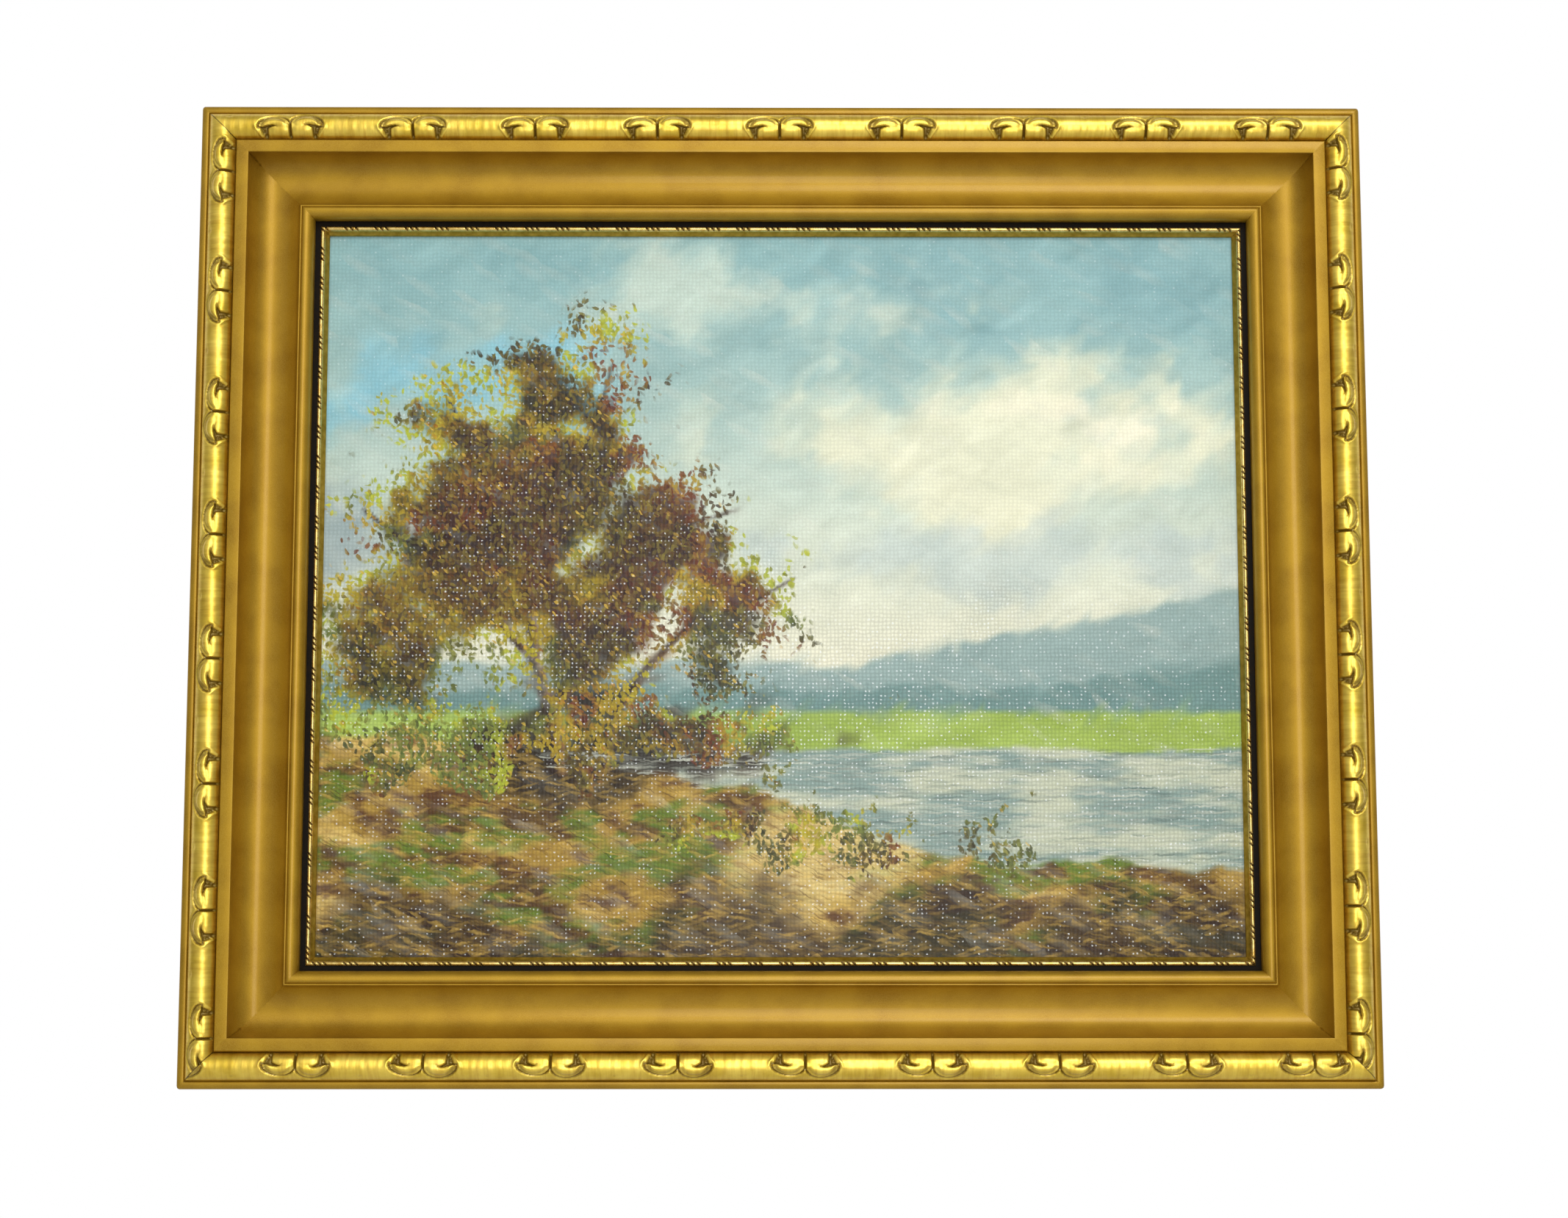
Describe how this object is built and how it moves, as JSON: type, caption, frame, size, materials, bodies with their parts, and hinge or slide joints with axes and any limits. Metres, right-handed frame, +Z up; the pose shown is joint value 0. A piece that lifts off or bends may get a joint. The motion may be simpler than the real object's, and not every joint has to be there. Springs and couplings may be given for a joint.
{
  "type": "framed oil painting",
  "caption": "Small landscape oil painting on stretched canvas in a gilt wooden frame with a carved half-round, a deep cove and a black and gold liner, made to hang on a wall.",
  "frame": {"origin": "middle of the hanging strip's wall side, at the middle of the top rail's back", "axes": "+Z up, +Y into the wall, the picture faces -Y, +X to the right of someone who looks at the picture"},
  "size_m": [0.3686, 0.0326, 0.3086],
  "materials": {
    "gilt_moulding": "matte gold bronze on the flats and cove, burnished yellow gold on the carved half-round",
    "liner_moulding": "brown-black painted band with a gilt beaded lip and a dull gold bevel",
    "painted_linen": "oil paint on coarse linen under a glinting varnish",
    "stretcher_pine": "planed, unfinished",
    "hanger_steel": "plated sheet steel"
  },
  "bodies": {
    "root": {"frame_rail_top": "gilt_moulding", "frame_rail_bottom": "gilt_moulding", "frame_rail_left": "gilt_moulding", "frame_rail_right": "gilt_moulding", "liner_top": "liner_moulding", "liner_bottom": "liner_moulding", "liner_left": "liner_moulding", "liner_right": "liner_moulding", "painted_canvas": "painted_linen", "stretcher_bar_top": "stretcher_pine", "stretcher_bar_bottom": "stretcher_pine", "stretcher_bar_left": "stretcher_pine", "stretcher_bar_right": "stretcher_pine", "hanger_plate": "hanger_steel"}
  },
  "joints": []
}
